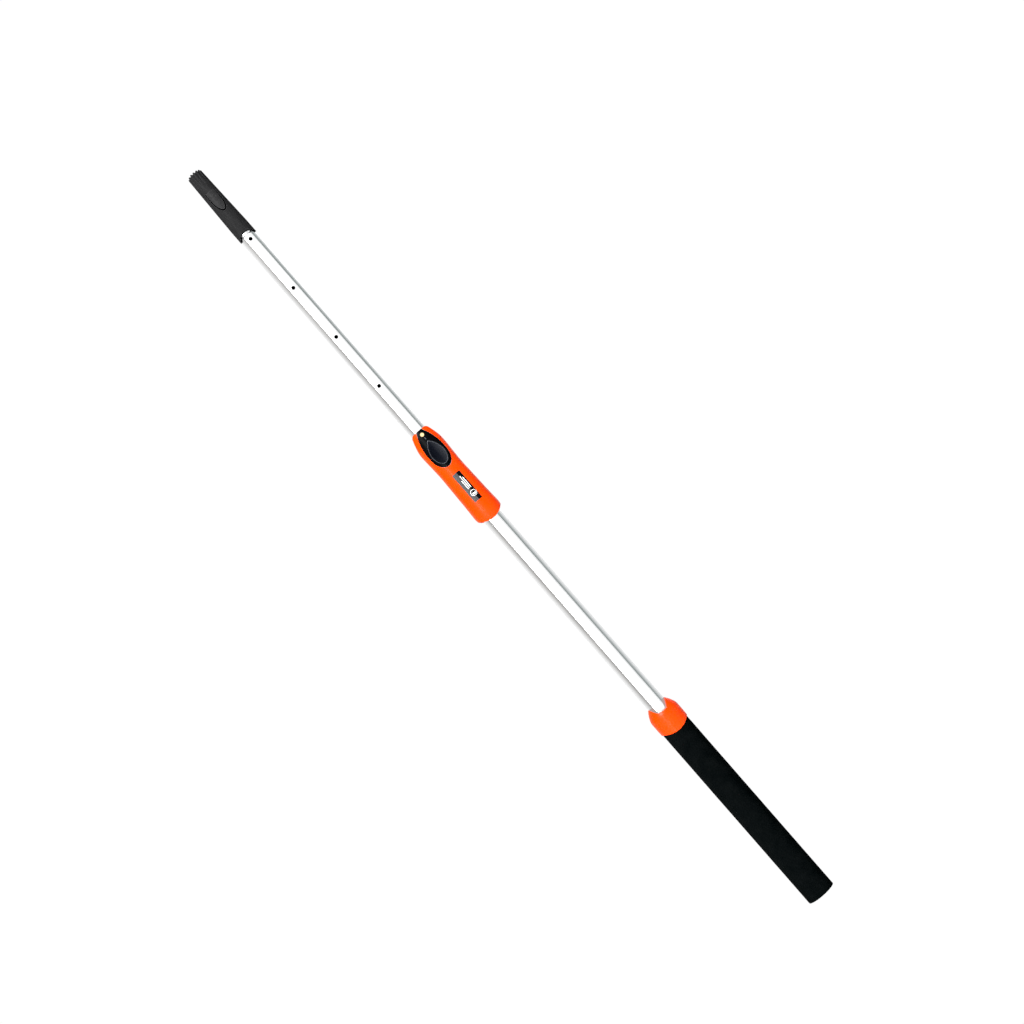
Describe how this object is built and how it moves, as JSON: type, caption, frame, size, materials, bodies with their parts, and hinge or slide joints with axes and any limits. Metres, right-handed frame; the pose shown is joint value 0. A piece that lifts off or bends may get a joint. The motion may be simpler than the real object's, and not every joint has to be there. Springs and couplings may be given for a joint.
{
  "type": "roller extension pole",
  "caption": "Telescopic extension pole of two hexagonal aluminium tubes, with a thumb-lever pin lock, a tapered snap-in tip, a collar and a foam grip.",
  "frame": {"origin": "centre of the butt face, on the pole's axis", "axes": "+Z along the pole from the butt to the tip; -Y is the front, with the lever and the locking holes; X is the lever's pivot direction"},
  "size_m": [0.0412, 0.0412, 1.1766],
  "materials": {
    "anodised_tube": "satin",
    "orange_moulding": "satin",
    "black_moulding": "semi-gloss",
    "tip_nylon": "matt",
    "soft_pad": "satin",
    "foam": "matt",
    "brass": "polished",
    "bright_steel": "satin",
    "natural_nylon": "matt",
    "badge_print": "gloss"
  },
  "bodies": {
    "handle": {"outer_tube": "anodised_tube", "lock_front_shell": "orange_moulding", "lock_rear_shell": "orange_moulding", "shell_screws": "bright_steel", "lock_dowels": "bright_steel", "throat_bush": "natural_nylon", "lever_pivot_pins": "bright_steel", "lever_spring": "bright_steel", "lock_badge": "badge_print", "grip_collar": "orange_moulding", "foam_grip": "foam", "butt_plug": "black_moulding"},
    "slider": {"inner_tube": "anodised_tube", "tip_body": "tip_nylon", "tip_roll_pin": "bright_steel", "inner_end_bush": "natural_nylon", "end_bush_pin": "bright_steel"},
    "lever": {"lock_lever": "black_moulding", "thumb_pad": "soft_pad", "lock_pin": "brass"},
    "finger": {"snap_finger": "tip_nylon"}
  },
  "joints": [
    {"name": "tube_slide", "type": "slide", "parent": "handle", "child": "slider", "axis": [0, 0, 1], "range_m": [-0.32, 0.24]},
    {"name": "lever_rock", "type": "hinge", "parent": "handle", "child": "lever", "pos_m": [0, -0.0075, 0.732], "axis": [-1, 0, 0], "range_deg": [0, 5.7], "deforming": ["lever_spring"]},
    {"name": "finger_flex", "type": "hinge", "parent": "slider", "child": "finger", "pos_m": [0, -0.0095, 1.1456], "axis": [1, 0, 0], "range_deg": [0, 4]}
  ]
}
